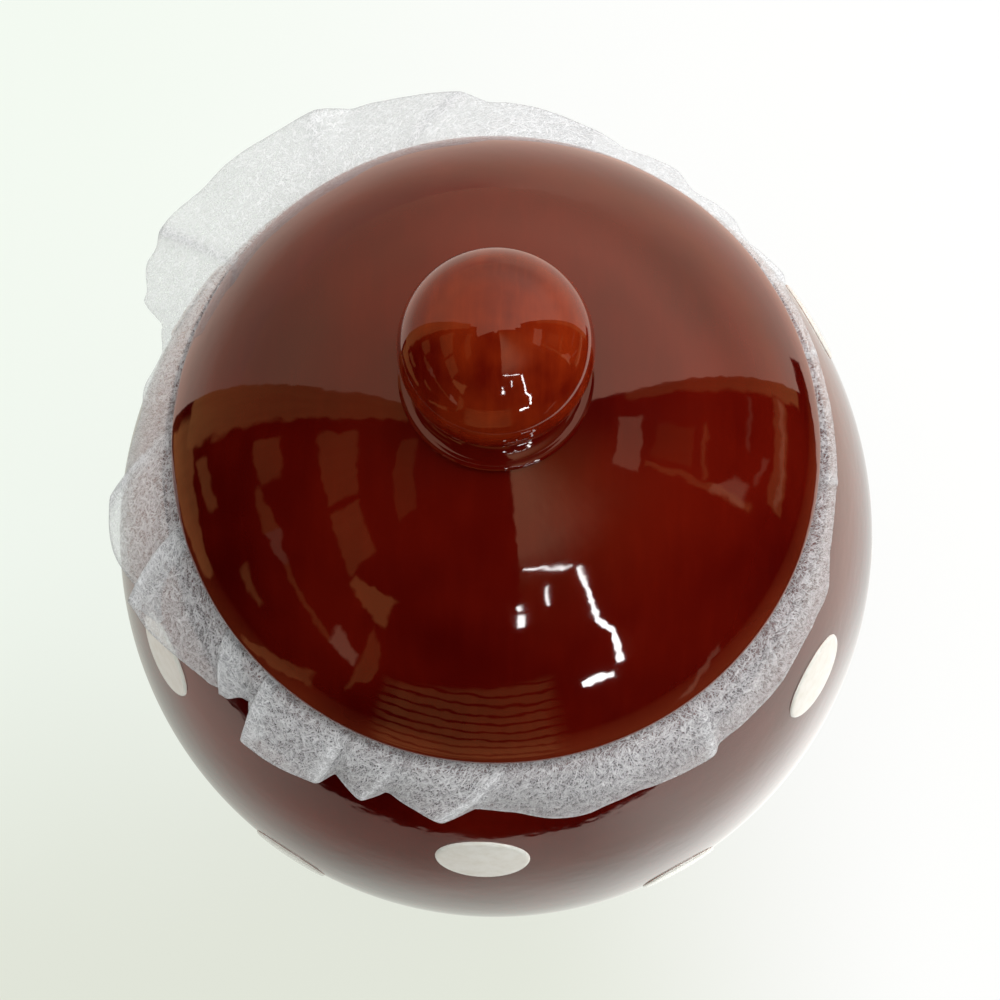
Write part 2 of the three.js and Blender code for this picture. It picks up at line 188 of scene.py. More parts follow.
class Tree:
    """A shader or geometry node tree, and the one method that adds its nodes."""

    def __init__(self, node_tree):
        self.tree = node_tree

    def add(self, kind, settings=None, inputs=None, out=0):
        """Adds a node, then its settings, then the values or links of its sockets. Gives one output."""
        node = self.tree.nodes.new(kind)
        for name, value in (settings or {}).items():
            setattr(node, name, value)
        for key, value in (inputs or {}).items():
            socket = find_socket(node.inputs, key)
            links = value if isinstance(value, list) else [value]
            if isinstance(links[0], Value):
                for link in links:
                    self.tree.links.new(link.socket, socket)
            else:
                socket.default_value = value
        return Value(self, find_socket(node.outputs, out)) if len(node.outputs) else node

    def vector(self, operation, *values):
        return self.add("ShaderNodeVectorMath", {"operation": operation}, dict(enumerate(values)))

    def combine(self, x, y, z):
        return self.add("ShaderNodeCombineXYZ", {}, {0: x, 1: y, 2: z})

    def parts(self, vector):
        return self.add("ShaderNodeSeparateXYZ", {}, {0: vector})

    def mix(self, share, first, second):
        inputs = {"Factor_Float": share, "A_Color": first, "B_Color": second}
        return self.add("ShaderNodeMix", {"data_type": "RGBA"}, inputs, "Result_Color")

    def ease(self, value, low, high):
        inputs = {"Value": value, "From Min": low, "From Max": high}
        return self.add("ShaderNodeMapRange", {"interpolation_type": "SMOOTHSTEP"}, inputs)

    def steps(self, value, first, *others):
        """A colour that changes along a value, in steps with a start, an end and the next colour."""
        for low, high, following in others:
            first = self.mix(self.ease(value, low, high), first, following)
        return first

    def noise(self, place, size, detail=2.0, roughness=0.5, stretch=(1, 1, 1), turn=0.0):
        """Noise from 0 to 1 whose features measure about size along each axis, times that axis's stretch."""
        inputs = {"Vector": place, "Rotation": (0, 0, math.radians(turn))}
        turned_in = self.add("ShaderNodeMapping", {"vector_type": "TEXTURE"}, inputs)
        scaled = self.vector("MULTIPLY", turned_in, [1 / (size * s) for s in stretch])
        inputs = {"Vector": scaled, "Scale": 1.0, "Detail": detail, "Roughness": roughness}
        return self.add("ShaderNodeTexNoise", {}, inputs)

    def relief(self, height):
        """A normal from a height in millimetres."""
        return self.add("ShaderNodeBump", {}, {"Strength": 1.0, "Distance": MM, "Height": height})

    def painted(self, name):
        """A number that the mesh carries, for a finish."""
        return self.add("ShaderNodeAttribute", {"attribute_name": name})["Fac"]

    def carried(self, name):
        """A number that the mesh carries, for geometry nodes."""
        return self.add("GeometryNodeInputNamedAttribute", {"data_type": "FLOAT"}, {"Name": name})

    def onto(self, geometry, kind, inputs=None, settings=None):
        """Adds a node that works on a geometry."""
        return self.add("GeometryNode" + kind, settings, {"Geometry": geometry, **(inputs or {})})


def colour(red, green, blue):
    """A colour given as it looks on a screen, 0 to 255, as the linear colour that a node takes."""
    shown = (red / 255, green / 255, blue / 255)
    return (*(c / 12.92 if c <= 0.04045 else ((c + 0.055) / 1.055) ** 2.4 for c in shown), 1.0)


def in_scene(name, data):
    thing = bpy.data.objects.new(name, data)
    bpy.context.scene.collection.objects.link(thing)
    return thing


# Finishes: colours, sizes of patterns, and heights of relief in millimetres
GLAZE_IOR = 1.5
GLAZE_ROUGHNESS = 0.035
RUN_WIDTH, RUN_STRETCH = 2.2 * MM, (1, 6, 6)
WAVES_RIPPLES_PEEL = [(16 * MM, 1, 0.07), (3.4 * MM, 1, 0.022), (1.3 * MM, 2, 0.0016)]
SMUDGE_SIZE, SMUDGE_ROUGHNESS = 9 * MM, 0.04

DOT_WHITES = [colour(236, 235, 229), (0.3, 0.8, colour(224, 221, 211))]
DOT_STAIN = (0.5, 1.0, colour(150, 74, 48))
DOT_MOTTLE, DOT_PEEL, DOT_PEEL_HEIGHT = 3 * MM, 1.6 * MM, 0.004
DOT_ROUGHNESS = 0.08

BUFFS = [colour(206, 182, 152), (0.3, 0.7, colour(186, 152, 118))]
GRIT = (0.58, 0.75, colour(138, 100, 72))
PATCH_SIZE, GRIT_SIZE, GRIT_HEIGHT = 14 * MM, 0.7 * MM, 0.08

# The fibre web is laid out in millimetres on the flat sheet
STRAND_WIDTH, STRAND_STRETCH, STRAND_SHARPNESS = 0.52, (1, 7, 1), 10
STRAND_TURNS = (12, 48, 84, 120, 156)
FLECK_WIDTH, FLECK_STRETCH, FLECK_TURNS = 0.34, (1, 3, 1), (8, 68, 131)
CLUMP_SIZE = 2.6
FIBRE_HEIGHT = 0.1
FIBRE_GREY, FIBRE_WHITE = colour(214, 214, 218), colour(252, 252, 254)
# CREASE_COVER makes the creases and the front edge denser and whiter: partly denser fibre, partly a painted
# highlight.
OPEN_COVER, WEB_COVER, CREASE_COVER = 0.2, 0.36, 0.6
# How much less the web covers towards the right and the left, so that the dark glaze shows more: painted
# shade.
SIDE_SHADE_RIGHT, SIDE_SHADE_LEFT = 0.17, 0.09
SHEET_UV_SIZE = 200 * MM


def new_finish(name):
    finish = bpy.data.materials.new(name)
    finish.use_nodes = True
    finish.node_tree.nodes.clear()
    return finish, Tree(finish.node_tree)


def shade(tree, inputs):
    surface = tree.add("ShaderNodeBsdfPrincipled", {}, inputs)
    tree.add("ShaderNodeOutputMaterial", {}, {"Surface": surface})


def glaze(name, deep, warm, thinned, cloud_size, streaks):
    """A gloss glaze: cloudy, streaked where it ran, thinner and warmer over edges, faintly uneven."""
    finish, tree = new_finish(name)
    place = tree.add("ShaderNodeTexCoord")["Object"]
    thin = tree.painted("thin")
    clouds = tree.noise(place, cloud_size, 3)
    runs = tree.noise(place, RUN_WIDTH, 3, 0.6, RUN_STRETCH)
    warmth = tree.ease(clouds, 0.3, 0.75) * (1 - streaks) + tree.ease(runs, 0.4, 0.75) * streaks
    base = tree.mix(thin * tree.ease(clouds, 0.1, 0.6), tree.mix(warmth, deep, warm), thinned)
    uneven = [tree.noise(place, size, detail) * height for size, detail, height in WAVES_RIPPLES_PEEL]
    normal = tree.relief(reduce(Value.__add__, uneven))
    smudges = tree.ease(tree.noise(place, SMUDGE_SIZE, 4), 0.35, 0.9)
    gloss = GLAZE_ROUGHNESS + smudges * SMUDGE_ROUGHNESS
    shade(tree, {"Base Color": base, "Roughness": gloss, "IOR": GLAZE_IOR, "Normal": normal})
    return finish


def white_glaze(name):
    """The dots: off-white gloss, faintly mottled, stained by the body glaze at the very edge."""
    finish, tree = new_finish(name)
    place = tree.add("ShaderNodeTexCoord")["Object"]
    stain = tree.painted("thin")
    mottle = tree.noise(place, DOT_MOTTLE, 4, 0.6)
    base = tree.steps(stain + mottle * 0.5 - 0.25, tree.steps(mottle, *DOT_WHITES), DOT_STAIN)
    normal = tree.relief(tree.noise(place, DOT_PEEL, 2) * DOT_PEEL_HEIGHT)
    gloss = DOT_ROUGHNESS + mottle * DOT_ROUGHNESS
    shade(tree, {"Base Color": base, "Roughness": gloss, "IOR": GLAZE_IOR, "Normal": normal})
    return finish


def bare_clay(name):
    """Unglazed fired clay where the jar stands and where the lid seats: pale buff, gritty and matt."""
    finish, tree = new_finish(name)
    place = tree.add("ShaderNodeTexCoord")["Object"]
    grit = tree.noise(place, GRIT_SIZE, 5, 0.65)
    patches = tree.noise(place, PATCH_SIZE, 3)
    base = tree.steps(grit, tree.steps(patches, *BUFFS), GRIT)
    normal = tree.relief(grit * GRIT_HEIGHT)
    shade(tree, {"Base Color": base, "Roughness": 0.75 + grit * 0.2, "Normal": normal})
    return finish


def fibre_web(name):
    """Thin white non-woven: a web of short strands that dark glaze shows through. It lets more glaze through
    at the left and right, as painted shade, and is denser and whiter along its creases and front edge, partly
    as a painted highlight.
    """
    finish, tree = new_finish(name)
    places = tree.add("ShaderNodeTexCoord")
    across = tree.parts(places["Object"])["X"]
    # Whiter and denser along creases and at the front edge: partly denser fibre, partly a painted highlight.
    crease = tree.painted("crease_white")
    flat_mm = tree.vector("MULTIPLY", places["UV"], (SHEET_UV_SIZE / MM, SHEET_UV_SIZE / MM, 0))
    strands = [tree.noise(flat_mm, STRAND_WIDTH, 1, 0.5, STRAND_STRETCH, turn) for turn in STRAND_TURNS]
    strands = [1 - ((strand - 0.5) * STRAND_SHARPNESS).absolute() for strand in strands]
    web = tree.ease(reduce(Value.highest, strands), 0.55, 1.0)
    flecks = [tree.noise(flat_mm, FLECK_WIDTH, 2, 0.55, FLECK_STRETCH, turn) for turn in FLECK_TURNS]
    flecks = tree.ease(reduce(Value.highest, flecks), 0.5, 0.72)
    clumps = tree.noise(flat_mm, CLUMP_SIZE, 3, 0.6)
    cover = (web * 0.8 + flecks * 0.2) * (0.7 + clumps * 0.6)
    # Less cover towards the right and the left darkens the sheet there: painted shade.
    thinner = tree.ease(across, 0.015, 0.065) * SIDE_SHADE_RIGHT + tree.ease(across, -0.03, -0.06) * SIDE_SHADE_LEFT
    base = tree.mix(cover.highest(crease), FIBRE_GREY, FIBRE_WHITE)
    alpha = OPEN_COVER + cover * WEB_COVER - thinner + crease * CREASE_COVER
    shade(tree, {"Base Color": base, "Roughness": 0.85, "Alpha": alpha, "Specular IOR Level": 0.25,
                 "Normal": tree.relief(cover * FIBRE_HEIGHT)})
    return finish


# Profiles: points as (radius, height), in stretches of one kind. The kinds say how far the glaze is thinned
# and whether the stretch takes a piece's second finish
THINNESS = {"glaze": 0.0, "edge": 0.5, "clay": 0.0, "foot": 0.0, "white": 0.0, "stain": 1.0}
SECOND_FINISH = {"clay", "foot", "white", "stain"}
EDGE_FADE = 5


def arc(centre, radius, start, end, steps):
    angles = np.radians(np.linspace(start, end, steps + 1))
    return [(centre[0] + radius * math.cos(a), centre[1] + radius * math.sin(a)) for a in angles]


def bend(start, control, end, steps):
    shares = np.linspace(0, 1, steps + 1)
    a, b, c = np.array(start), np.array(control), np.array(end)
    return [tuple((1 - t) ** 2 * a + 2 * t * (1 - t) * b + t * t * c) for t in shares]


def touch(start, centre, radius):
    """The point where a line from outside touches a circle, on the circle's outer side, and its angle."""
    away = np.array(start) - np.array(centre)
    angle = math.atan2(away[1], away[0]) + math.acos(radius / np.linalg.norm(away))
    return (centre[0] + radius * math.cos(angle), centre[1] + radius * math.sin(angle)), math.degrees(angle)


def directions(line):
    along = np.gradient(line, axis=0)
    return along / np.linalg.norm(along, axis=1)[:, None]


def cut_anew(line, places):
    """A line of points with new points, at the places along it that a function gives for its length."""
    along = np.concatenate([[0], np.cumsum(np.hypot(*np.diff(line, axis=0).T))])
    at = places(along[-1])
    return np.stack([np.interp(at, along, column) for column in line.T], axis=1)


def inset(points, wall):
    line = np.array(points)
    along = directions(line)
    return [tuple(p) for p in line + wall * np.stack([-along[:, 1], along[:, 0]], axis=1)]


def jar_side():
    """The jar's outer side from the glaze line at the foot to the lip, and the lip's first angle."""
    belly = (BELLY_RADIUS, BELLY_HEIGHT)
    lip_centre = (RIM_RADIUS, RIM_HEIGHT - LIP_ROUND)
    shoulder_aim = (BELLY_RADIUS, BELLY_HEIGHT + SHOULDER_FULLNESS)
    shoulder_top, lip_start = touch(shoulder_aim, lip_centre, LIP_ROUND)
    glaze_line = (FOOT_RADIUS + FOOT_STEP, FOOT_HEIGHT)
    lower_aim = (BELLY_RADIUS, BELLY_HEIGHT - LOWER_FULLNESS)
    side = bend(glaze_line, lower_aim, belly, steps=44)
    side += bend(belly, shoulder_aim, shoulder_top, steps=44)[1:]
    return side, lip_centre, lip_start


def jar_profile():
    side, lip_centre, lip_start = jar_side()
    foot_inside = FOOT_RADIUS - FOOT_WIDTH
    foot = [(0, BASE_RECESS), (foot_inside - 3 * FOOT_STEP, BASE_RECESS)]
    foot += bend((foot_inside - FOOT_STEP, BASE_RECESS), (foot_inside, BASE_RECESS),
                 (foot_inside, FOOT_ROUND), steps=5)
    foot += arc((foot_inside + FOOT_ROUND, FOOT_ROUND), FOOT_ROUND, 180, 270, steps=5)
    foot += arc((FOOT_RADIUS - FOOT_ROUND, FOOT_ROUND), FOOT_ROUND, -90, 0, steps=5)
    foot += bend((FOOT_RADIUS, FOOT_HEIGHT - FOOT_ROUND), (FOOT_RADIUS, FOOT_HEIGHT),
                 (FOOT_RADIUS + FOOT_STEP / 2, FOOT_HEIGHT - FOOT_ROUND / 4), steps=4)
    lip = arc(lip_centre, LIP_ROUND, lip_start, 90, steps=8)
    mouth = arc((MOUTH_RADIUS + MOUTH_ROUND, RIM_HEIGHT - MOUTH_ROUND), MOUTH_ROUND, 90, 180, steps=8)
    seat = [(RIM_RADIUS - SEAT_INSET, RIM_HEIGHT), mouth[0]]
    bore_end = (MOUTH_RADIUS, RIM_HEIGHT - MOUTH_DEPTH)
    low, high = FLOOR_HEIGHT + FOOT_HEIGHT, RIM_HEIGHT - RIM_SWELL
    inner = [p for p in inset(side, WALL) if low < p[1] < high][::-1]
    swell = bend(bore_end, (MOUTH_RADIUS, RIM_HEIGHT - RIM_SWELL * SWELL_AIM), inner[0], steps=8)[:-1]
    wall_foot = inner[-1]
    drop = wall_foot[1] - FLOOR_HEIGHT
    floor = bend(wall_foot, (wall_foot[0] - drop, FLOOR_HEIGHT), (wall_foot[0] - 2 * drop, FLOOR_HEIGHT),
                 steps=10)
    floor += [(wall_foot[0] * share, FLOOR_HEIGHT) for share in (0.5, 0.25, 0)]
    return [(foot, "clay"), (side, "glaze"), (lip, "edge"), (seat, "clay"), (mouth[1:], "edge"),
            (swell + inner + floor[1:], "glaze")]


def dome():
    """Centre height and radius of the lid's dome, where its rounded edge has its centre, and the seat."""
    seat = FLANGE_FOOT + FLANGE_DEPTH
    edge_centre = (LID_RADIUS - LID_EDGE_ROUND, seat + LID_EDGE_ROUND)
    reach = CROWN_HEIGHT - LID_EDGE_ROUND - edge_centre[1]
    depth = (edge_centre[0] ** 2 - reach ** 2) / (2 * reach)
    centre_height = edge_centre[1] - depth
    return centre_height, CROWN_HEIGHT - centre_height, edge_centre, seat


def dome_angle(sphere, radius):
    return math.degrees(math.acos(radius / sphere))


def lid_profile():
    centre_height, radius, edge_centre, seat = dome()
    centre = (0, centre_height)
    edge_angle = math.degrees(math.atan2(edge_centre[1] - centre_height, edge_centre[0]))
    inside = FLANGE_RADIUS - FLANGE_WALL
    hollow = radius - LID_WALL
    foot = FLANGE_FOOT + FLANGE_ROUND
    inner = arc(centre, hollow, 90, dome_angle(hollow, inside) + HOLLOW_STOP, steps=30)
    flange = arc((inside + FLANGE_ROUND, foot), FLANGE_ROUND, 180, 270, steps=6)
    flange += arc((FLANGE_RADIUS - FLANGE_ROUND, foot), FLANGE_ROUND, -90, 0, steps=6)
    flange += bend((FLANGE_RADIUS, seat - FLANGE_CORNER), (FLANGE_RADIUS, seat),
                   (FLANGE_RADIUS + FLANGE_CORNER, seat), steps=4)
    edge = arc(edge_centre, LID_EDGE_ROUND, -90, edge_angle, steps=14)
    crown = arc(centre, radius, edge_angle, 90, steps=60)
    faded = [([p], THINNESS["edge"] * (1 - i / EDGE_FADE)) for i, p in enumerate(crown[1:EDGE_FADE])]
    return [(inner, "glaze"), (flange, "clay"), (edge[:1], "clay"), (edge[1:], "edge"), *faded,
            (crown[EDGE_FADE:], "glaze")]


def knob_profile():
    centre_height, radius, _, _ = dome()
    waist = -math.degrees(math.asin(WAIST_DROP / BALL_RADIUS))
    ball = arc((0, KNOB_TOP - BALL_RADIUS), BALL_RADIUS, waist, 90, steps=48)
    underside = radius + LUTE_GAP
    foot_radius = COLLAR_RADIUS - COLLAR_BEAD
    base = arc((0, centre_height), underside, 90, dome_angle(underside, foot_radius), steps=8)
    bead = arc((foot_radius, base[-1][1] + COLLAR_BEAD), COLLAR_BEAD, -90, 90, steps=10)
    flare = bend(bead[-1], (ball[0][0], bead[-1][1]), ball[0], steps=16)
    # The foot, bead and flare under the ball take the knob's second finish, the darker body glaze: painted
    # shade where the ball overhangs them.
    return [(base + bead + flare[1:-1], "foot"), (ball, "glaze")]


def dot_profile():
    """A low cushion of white glaze with a soft edge, and a root inside the wall."""
    shares = np.linspace(0, DOT_FLAT, DOT_TOP_POINTS)
    top = [(DOT_RADIUS * s, DOT_RELIEF - DOT_CROWN * s * s) for s in shares]
    shoulder_aim = (DOT_RADIUS * DOT_SHOULDER, top[-1][1])
    shoulder = bend(top[-1], shoulder_aim, (DOT_RADIUS, DOT_SKIRT), steps=9)[1:]
    root = [(DOT_RADIUS, -DOT_ROOT), (0, -DOT_ROOT)]
    return [(top + shoulder[:-1], "white"), (shoulder[-1:], "stain"), (root, "glaze")]


# Turned pieces: a profile carried round the axis by geometry nodes
MERGE_WITHIN = 0.001 * MM
ALL_SECOND = 0.9


def new_tree(name, geometry_in, inputs, geometry_out):
    """A geometry node tree with named inputs, and the identifier that sets each of them."""
    node_tree = bpy.data.node_groups.new(name, "GeometryNodeTree")
    interface, sockets = node_tree.interface, {}
    interface.new_socket(geometry_in, in_out="INPUT", socket_type="NodeSocketGeometry")
    for title, kind in inputs.items():
        socket = interface.new_socket(title, in_out="INPUT", socket_type=f"NodeSocket{kind}")
        sockets[title] = socket.identifier
    interface.new_socket(geometry_out, in_out="OUTPUT", socket_type="NodeSocketGeometry")
    return node_tree, sockets


def add_modifier(maker, name, node_tree, sockets, values):
    modifier = maker.modifiers.new(name, "NODES")
    modifier.node_group = node_tree
    for title, value in values.items():
        modifier[sockets[title]] = value


def turning_tree():
    given_inputs = {"Sides": "Int", "Finish": "Material", "Second finish": "Material"}
    node_tree, sockets = new_tree("turned on the wheel", "Profile", given_inputs, "Piece")
    tree = Tree(node_tree)
    given = tree.add("NodeGroupInput")
    profile = given["Profile"]
    rows = tree.onto(profile, "AttributeDomainSize", {}, {"component": "MESH"})["Point Count"]
    piece = tree.add("GeometryNodeMeshGrid", {}, {"Vertices X": given["Sides"] + 1, "Vertices Y": rows})
    index = tree.add("GeometryNodeInputIndex")
    row = index % rows
    turn = (index / rows).floor() / given["Sides"] * math.tau

    def along_profile(data_type, value):
        return tree.onto(profile, "SampleIndex", {"Value": value, "Index": row}, {"data_type": data_type})

    def store(geometry, name, value):
        settings = {"data_type": "FLOAT", "domain": "POINT"}
        return tree.onto(geometry, "StoreNamedAttribute", {"Name": name, "Value": value}, settings)

    place = tree.parts(along_profile("FLOAT_VECTOR", tree.add("GeometryNodeInputPosition")))
    radius, height = place["X"], place["Z"]
    turned_place = tree.combine(radius * turn.sine(), 0 - radius * turn.cosine(), height)
    for name in ("thin", "second"):
        piece = store(piece, name, along_profile("FLOAT", tree.carried(name)))
    piece = store(piece, "height", height)
    piece = tree.onto(piece, "SetPosition", {"Position": turned_place})
    piece = tree.onto(piece, "MergeByDistance", {"Distance": MERGE_WITHIN})
    piece = tree.onto(piece, "SetShadeSmooth", {"Shade Smooth": True})
    piece = tree.onto(piece, "RealizeInstances")
    piece = tree.onto(piece, "SetMaterial", {"Material": given["Finish"]})
    second = {"Selection": tree.carried("second") > ALL_SECOND, "Material": given["Second finish"]}
    piece = tree.onto(piece, "SetMaterial", second)
    tree.add("NodeGroupOutput", {}, {"Piece": piece})
    return node_tree, sockets


def plain_mesh(maker, name):
    """What an object's geometry nodes make, as a plain mesh object with its faces pointing out."""
    depsgraph = bpy.context.evaluated_depsgraph_get()
    mesh = bpy.data.meshes.new_from_object(maker.evaluated_get(depsgraph))
    bpy.data.objects.remove(maker)
    work = bmesh.new()
    work.from_mesh(mesh)
    bmesh.ops.recalc_face_normals(work, faces=work.faces)
    work.to_mesh(mesh)
    work.free()
    mesh.name = name
    return in_scene(name, mesh)


def turned(name, profile, sides, finish, second_finish):
    points = [(p, kind) for stretch, kind in profile for p in stretch]
    mesh = bpy.data.meshes.new(name + " profile")
    mesh.from_pydata([(p[0], 0, p[1]) for p, _ in points], [], [])
    carried = {"thin": [THINNESS.get(kind, kind) for _, kind in points],
               "second": [float(kind in SECOND_FINISH) for _, kind in points]}
    for title, values in carried.items():
        mesh.attributes.new(title, "FLOAT", "POINT").data.foreach_set("value", values)
    maker = in_scene(name + " maker", mesh)
    values = {"Sides": sides, "Finish": finish, "Second finish": second_finish}
    add_modifier(maker, "turned", *TURNING, values)
    return plain_mesh(maker, name)


# Dots: copies of one dot set round the jar and laid onto its curved side
def dot_ring_tree():
    given_inputs = {"Dot": "Object", "Jar": "Object", "Count": "Int", "Height": "Float", "First": "Float",
                    "White": "Material", "Root": "Material"}
    node_tree, sockets = new_tree("ring of dots", "Other rings", given_inputs, "Rings")
    tree = Tree(node_tree)
    given = tree.add("NodeGroupInput")
    dot = tree.add("GeometryNodeObjectInfo", {}, {"Object": given["Dot"]})["Geometry"]
    jar = tree.add("GeometryNodeObjectInfo", {}, {"Object": given["Jar"]})["Geometry"]

    def nearest_on_jar(source):
        inputs = {0: jar, "Source Position": source}
        return tree.add("GeometryNodeProximity", {"target_element": "FACES"}, inputs)

    def jar_normal(source):
        inputs = {"Mesh": jar, "Value": tree.add("GeometryNodeInputNormal"), "Sample Position": source}
        return tree.add("GeometryNodeSampleNearestSurface", {"data_type": "FLOAT_VECTOR"}, inputs)

    turn = (tree.add("GeometryNodeInputIndex") / given["Count"] * 360 + given["First"]) * math.radians(1)
    spot = tree.combine(BELLY_RADIUS * turn.sine(), -BELLY_RADIUS * turn.cosine(), given["Height"])
    ring = tree.add("GeometryNodeMeshCircle", {}, {"Vertices": given["Count"]})
    ring = tree.onto(ring, "SetPosition", {"Position": spot})
    outside = tree.add("GeometryNodeInputPosition")
    level = tree.vector("MULTIPLY", outside, (-1, -1, 0))
    inputs = {"Target Geometry": jar, "Source Position": outside, "Ray Direction": level, "Ray Length": 1.0}
    struck = tree.add("GeometryNodeRaycast", {}, inputs)
    ring = tree.onto(ring, "SetPosition", {"Position": struck["Hit Position"]})
    facing = jar_normal(tree.add("GeometryNodeInputPosition"))
    turned_out = tree.add("FunctionNodeAlignRotationToVector", {"axis": "Z"}, {"Vector": facing})
    inputs = {"Points": ring, "Instance": dot, "Rotation": turned_out}
    dots = tree.add("GeometryNodeInstanceOnPoints", {}, inputs)
    dots = tree.onto(dots, "RealizeInstances")
    here = tree.add("GeometryNodeInputPosition")
    inputs = {0: jar_normal(here), "Scale": tree.carried("height")}
    raised = tree.add("ShaderNodeVectorMath", {"operation": "SCALE"}, inputs)
    laid = tree.vector("ADD", nearest_on_jar(here), raised)
    dots = tree.onto(dots, "SetPosition", {"Position": laid})
    dots = tree.onto(dots, "SetMaterial", {"Material": given["Root"]})
    white = {"Selection": tree.carried("second") > ALL_SECOND, "Material": given["White"]}
    dots = tree.onto(dots, "SetMaterial", white)
    joined = tree.onto([given["Other rings"], dots], "JoinGeometry")
    tree.add("NodeGroupOutput", {}, {"Rings": joined})
    return node_tree, sockets


def dots_on(jar, white, root):
    dot = turned("one dot", dot_profile(), DOT_SIDES, root, white)
    node_tree, sockets = dot_ring_tree()
    maker = in_scene("dots maker", bpy.data.meshes.new("dots"))
    for height, first in DOT_RINGS:
        values = {"Dot": dot, "Jar": jar, "Count": DOTS_PER_RING, "Height": height, "First": first,
                  "White": white, "Root": root}
        add_modifier(maker, "ring", node_tree, sockets, values)
    dots = plain_mesh(maker, "dots")
    bpy.data.objects.remove(dot)
    return dots


# Packing sheet: its mesh, the rounding of its folds and its small creases
COLUMNS = 960
DISC_ROWS, RIM_POINTS, FRILL_ROWS = 9, 5, 20
DISC_MIDDLE = 0.03
FOLD_ROUNDING, FOLD_REACH = 1.3, 5
LIFT_SHARE = 0.2
CREASE_NARROWING = 6
DROOP_EASE, LIFT_EASE = 0.7, 0.3
EDGE_WHITE, EDGE_FRONT = 0.5, 0.3
CREASE_AT_RIM = 0.35
DISC_WRINKLE = 0.4
BROAD_SIZE, BROAD_HEIGHT = 11 * MM, 0.5
FINE_SIZE, FINE_HEIGHT, FINE_SHIFT = 4 * MM, 0.16, Vector((7, 3, 1))
OUTLINE_STEP = 0.2 * MM


def full_turn(rows, turns=1):
    """Copies of rows that begin with an azimuth, a number of full turns further on."""
    moved = rows.copy()
    moved[:, 0] += 360 * turns
    return moved


def round_the_rim(azimuths, stations):
    """Values of the stations at any azimuths, eased between them and repeating after a full turn."""
    table = np.array(sorted(stations), float)
    table = np.vstack([table, full_turn(table[:1])])
    turned_in = (np.asarray(azimuths) - table[0, 0]) % 360 + table[0, 0]
    at = np.clip(np.searchsorted(table[:, 0], turned_in, side="right") - 1, 0, len(table) - 2)
    share = (turned_in - table[at, 0]) / (table[at + 1, 0] - table[at, 0])
    share = (share * share * (3 - 2 * share))[:, None]
    return table[at, 1:] * (1 - share) + table[at + 1, 1:] * share


def fold_threads():
    """Threads of the sheet in order round the rim, each with its azimuth at the edge, slant, lift, layer
    above the rim and how sharply it is creased.
    """
    threads = []
    for azimuth, slant, lift, width, kind in FOLDS:
        doubled = kind == PLEAT
        layer = PLEAT_LAYER * min(1, lift / FULL_LAYER_LIFT) if doubled else RIDGE_LAYER
        sharp = 1 if kind in (PLEAT, PRESSED) else min(1, max(0, lift - SOFT_LIFT) / SHARP_OVER)
        crest = (azimuth, slant, lift, layer, sharp)
        shift = -width if kind == BACK_RIDGE else width
        valley = (azimuth + shift, slant, 0, -layer if doubled else 0, 0)
        threads += [valley, crest] if kind in (BACK_RIDGE, PLEAT) else [crest, valley]
    return np.array(threads, float)


def sheet_threads():
    """The threads filled up to evenly spaced columns, with each fold slightly rounded."""
    threads = fold_threads()
    closed = np.vstack([threads, full_turn(threads[:1])])
    spacing = np.hypot(np.diff(closed[:, 0]), LIFT_SHARE * np.diff(closed[:, 2]))
    along = np.concatenate([[0], np.cumsum(spacing)])
    at = np.linspace(0, along[-1], COLUMNS, endpoint=False)
    lines = np.stack([np.interp(at, along, column) for column in closed.T], axis=1)
    span = np.abs(np.interp(at, along[:-1], np.arange(len(along) - 1)) % 1 - 0.5) * 2
    lines[:, 4] *= span ** CREASE_NARROWING
    reach = range(-FOLD_REACH, FOLD_REACH + 1)
    weights = np.array([math.exp(-0.5 * (k / FOLD_ROUNDING) ** 2) for k in reach])
    three_turns = np.vstack([full_turn(lines, -1), lines, full_turn(lines)])
    rounded = [np.convolve(column, weights / weights.sum(), "same") for column in three_turns.T]
    return np.stack(rounded, axis=1)[COLUMNS:2 * COLUMNS]


